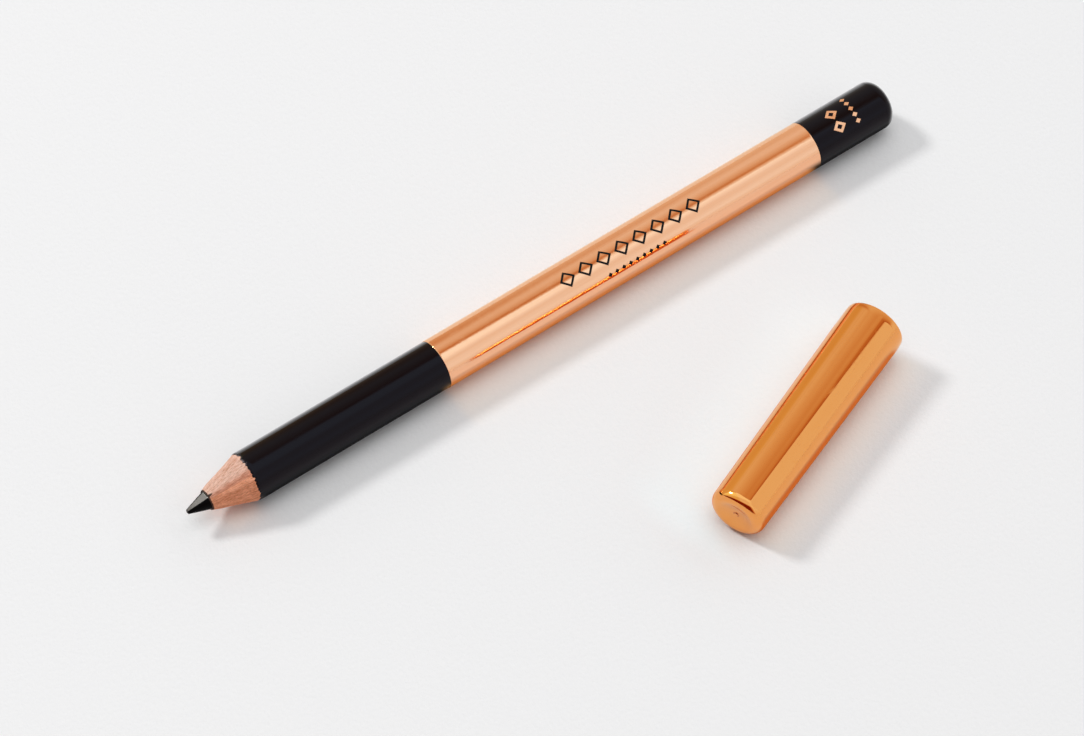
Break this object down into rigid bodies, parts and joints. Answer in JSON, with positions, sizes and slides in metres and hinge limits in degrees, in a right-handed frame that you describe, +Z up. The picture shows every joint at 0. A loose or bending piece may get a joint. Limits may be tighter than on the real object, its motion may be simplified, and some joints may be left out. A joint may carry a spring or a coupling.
{
  "type": "eyeliner pencil",
  "caption": "Sharpened wooden eyeliner pencil with a pigment core, lacquered barrel, metallic foil band and dipped end, its moulded push-on cap lying beside it.",
  "frame": {"origin": "middle of the bottom of the box round the pencil and its cap, on the surface they lie on", "axes": "+X along the barrel from the point to the dipped end, +Z up, the cap lies on the -Y side"},
  "size_m": [0.1268, 0.0542, 0.0096],
  "materials": {
    "pigment": "hard black cosmetic wax, smooth where it was cut",
    "wood": "bare sharpened cedar, dry and fibrous",
    "black_lacquer": "satin black lacquer",
    "rose_gold_foil": "rose-gold transfer foil with fine lengthwise lines",
    "rose_gold_cap": "metallised plastic, mirror-smooth orange rose gold"
  },
  "bodies": {
    "root": {"core": "pigment", "slat_front": "wood", "slat_back": "wood", "lacquer_coat": "black_lacquer", "foil_band": "rose_gold_foil", "end_dip": "black_lacquer", "cap": "rose_gold_cap"}
  },
  "joints": []
}
